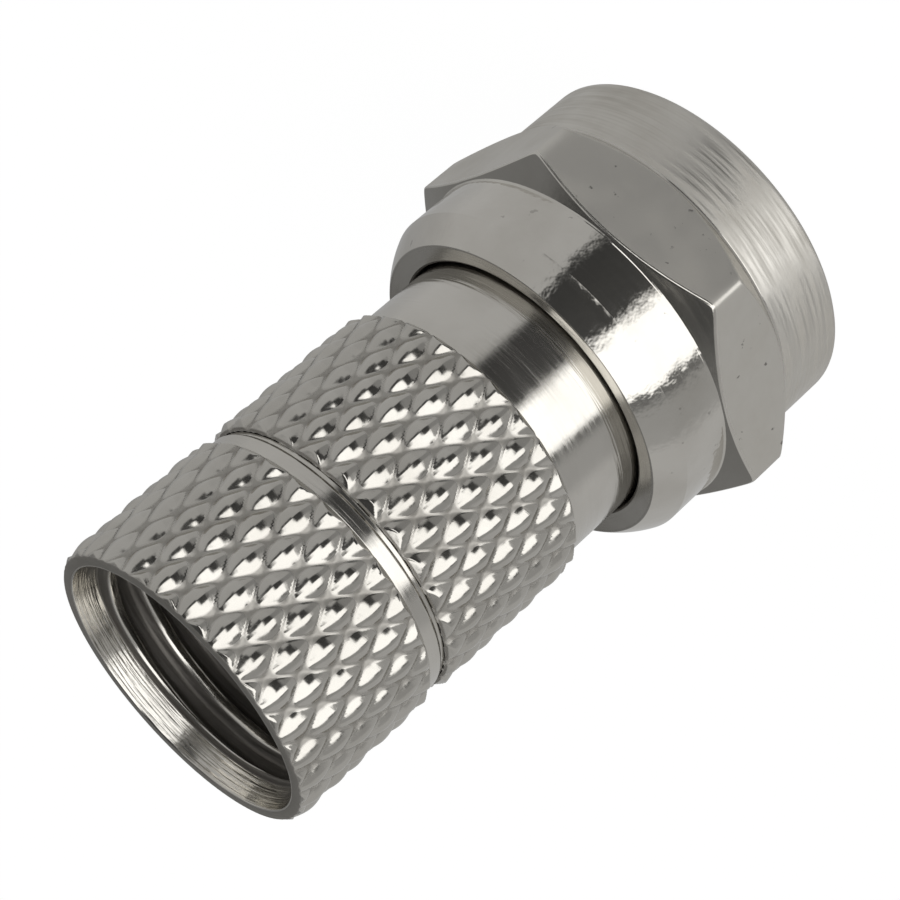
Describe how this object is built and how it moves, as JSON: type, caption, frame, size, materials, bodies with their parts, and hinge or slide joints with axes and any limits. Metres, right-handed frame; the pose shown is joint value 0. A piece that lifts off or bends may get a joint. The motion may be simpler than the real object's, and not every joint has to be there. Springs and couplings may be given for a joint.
{
  "type": "coaxial f connector plug",
  "caption": "Twist-on F plug: knurled sleeve with a threaded cable mouth and a free-spinning hexagonal coupling nut, nickel plated.",
  "frame": {"origin": "centre of the coupling nut's front face, on which the plug stands", "axes": "+Z along the axis towards the cable mouth, +X through a corner of the hexagon"},
  "size_m": [0.0126, 0.011, 0.02],
  "materials": {
    "sleeve_nickel": "nickel plate, satin bright",
    "nut_nickel": "nickel plate, satin bright"
  },
  "bodies": {
    "sleeve": {"knurled_sleeve": "sleeve_nickel"},
    "nut": {"coupling_nut": "nut_nickel"}
  },
  "joints": [
    {"name": "nut_spin", "type": "hinge", "parent": "sleeve", "child": "nut", "pos_m": [0, 0, 0.005], "axis": [0, 0, 1], "continuous": true}
  ]
}
